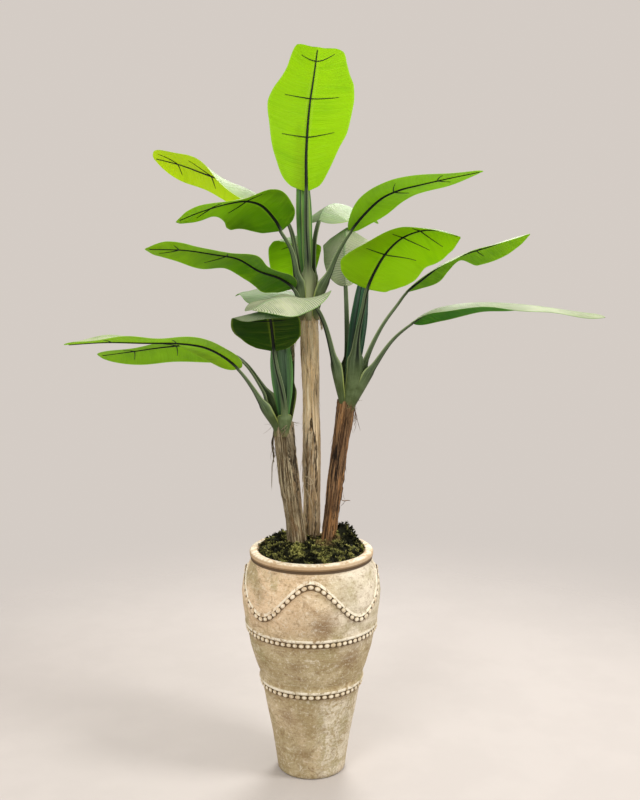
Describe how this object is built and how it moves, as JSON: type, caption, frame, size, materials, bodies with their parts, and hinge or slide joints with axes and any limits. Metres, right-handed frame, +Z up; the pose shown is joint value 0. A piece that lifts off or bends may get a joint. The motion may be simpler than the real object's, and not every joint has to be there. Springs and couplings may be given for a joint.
{
  "type": "potted banana plant",
  "caption": "Tall artificial banana plant: three fibrous trunks with stalked paddle leaves and furled leaves, in mossed fill in a tapered urn with beaded trims.",
  "frame": {"origin": "middle of the urn's flat base, on the floor", "axes": "+Z up, +Y away from the viewer, +X to the viewer's right"},
  "size_m": [1.6836, 0.8704, 2.4126],
  "materials": {
    "antiqued_terracotta": "matt, antiqued cream and tan over brown, with whitish bead highlights",
    "dark_fill": "matt dark brown",
    "dried_moss": "matt, tufted",
    "fibrous_bark_middle": "matt, torn tan fibre",
    "fibrous_bark_left": "matt, grey-brown fibre",
    "fibrous_bark_right": "matt, peeling red-brown fibre",
    "furled_leaf": "satin, pleated green",
    "leaf_fabric": "satin, finely ribbed green, paler on top",
    "moulded_stalk": "satin, dark grey-green"
  },
  "bodies": {
    "root": {"urn": "antiqued_terracotta", "potting_fill": "dark_fill", "moss": "dried_moss", "trunk_middle": "fibrous_bark_middle", "trunk_left": "fibrous_bark_left", "trunk_right": "fibrous_bark_right", "furled_leaf_middle": "furled_leaf", "furled_leaf_left": "furled_leaf", "furled_leaf_right": "furled_leaf", "blade_middle_top": "leaf_fabric", "blade_middle_upper_left": "leaf_fabric", "blade_middle_left": "leaf_fabric", "blade_middle_low_left": "leaf_fabric", "blade_middle_right": "leaf_fabric", "blade_middle_back_right": "leaf_fabric", "blade_middle_back": "leaf_fabric", "blade_left_front_arm": "leaf_fabric", "blade_left_back_arm": "leaf_fabric", "blade_left_front": "leaf_fabric", "blade_left_back": "leaf_fabric", "blade_right_front": "leaf_fabric", "blade_right_arm": "leaf_fabric", "blade_right_low_arm": "leaf_fabric", "blade_right_cross": "leaf_fabric", "blade_right_back": "leaf_fabric", "stalk_middle_top": "moulded_stalk", "stalk_middle_upper_left": "moulded_stalk", "stalk_middle_left": "moulded_stalk", "stalk_middle_low_left": "moulded_stalk", "stalk_middle_right": "moulded_stalk", "stalk_middle_back_right": "moulded_stalk", "stalk_middle_back": "moulded_stalk", "stalk_left_front_arm": "moulded_stalk", "stalk_left_back_arm": "moulded_stalk", "stalk_left_front": "moulded_stalk", "stalk_left_back": "moulded_stalk", "stalk_right_front": "moulded_stalk", "stalk_right_arm": "moulded_stalk", "stalk_right_low_arm": "moulded_stalk", "stalk_right_cross": "moulded_stalk", "stalk_right_back": "moulded_stalk"}
  },
  "joints": []
}
